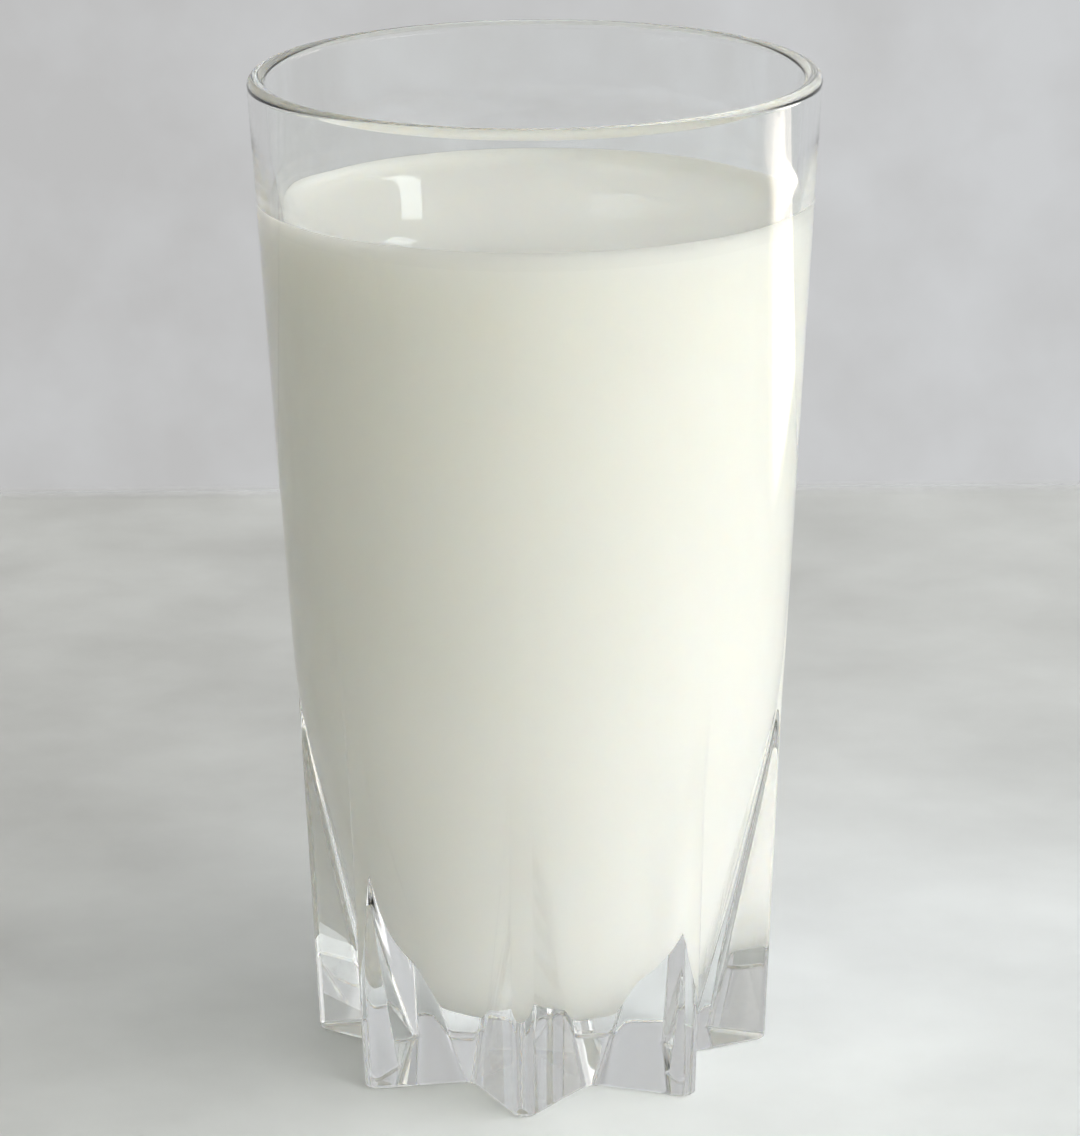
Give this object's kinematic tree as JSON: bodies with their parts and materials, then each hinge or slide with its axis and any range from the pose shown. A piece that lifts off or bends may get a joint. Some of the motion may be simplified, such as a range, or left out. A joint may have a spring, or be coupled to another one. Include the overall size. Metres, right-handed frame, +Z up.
{
  "type": "glass of ayran",
  "caption": "Tall clear pressed-glass tumbler on a star-shaped foot of upright fins, filled almost to the rim with an opaque off-white yoghurt drink.",
  "frame": {"origin": "centre of the flat underside of the foot, on the surface the glass stands on", "axes": "+Z up along the axis of the glass; one of the eight fins of the foot points to -Y"},
  "size_m": [0.076, 0.076, 0.136],
  "materials": {
    "clear_glass": "clear neutral pressed glass, fire polished, with crisp fins",
    "ayran": "opaque off-white drink with a wet, softly glossy top"
  },
  "bodies": {
    "root": {"glass": "clear_glass", "ayran": "ayran"}
  },
  "joints": []
}
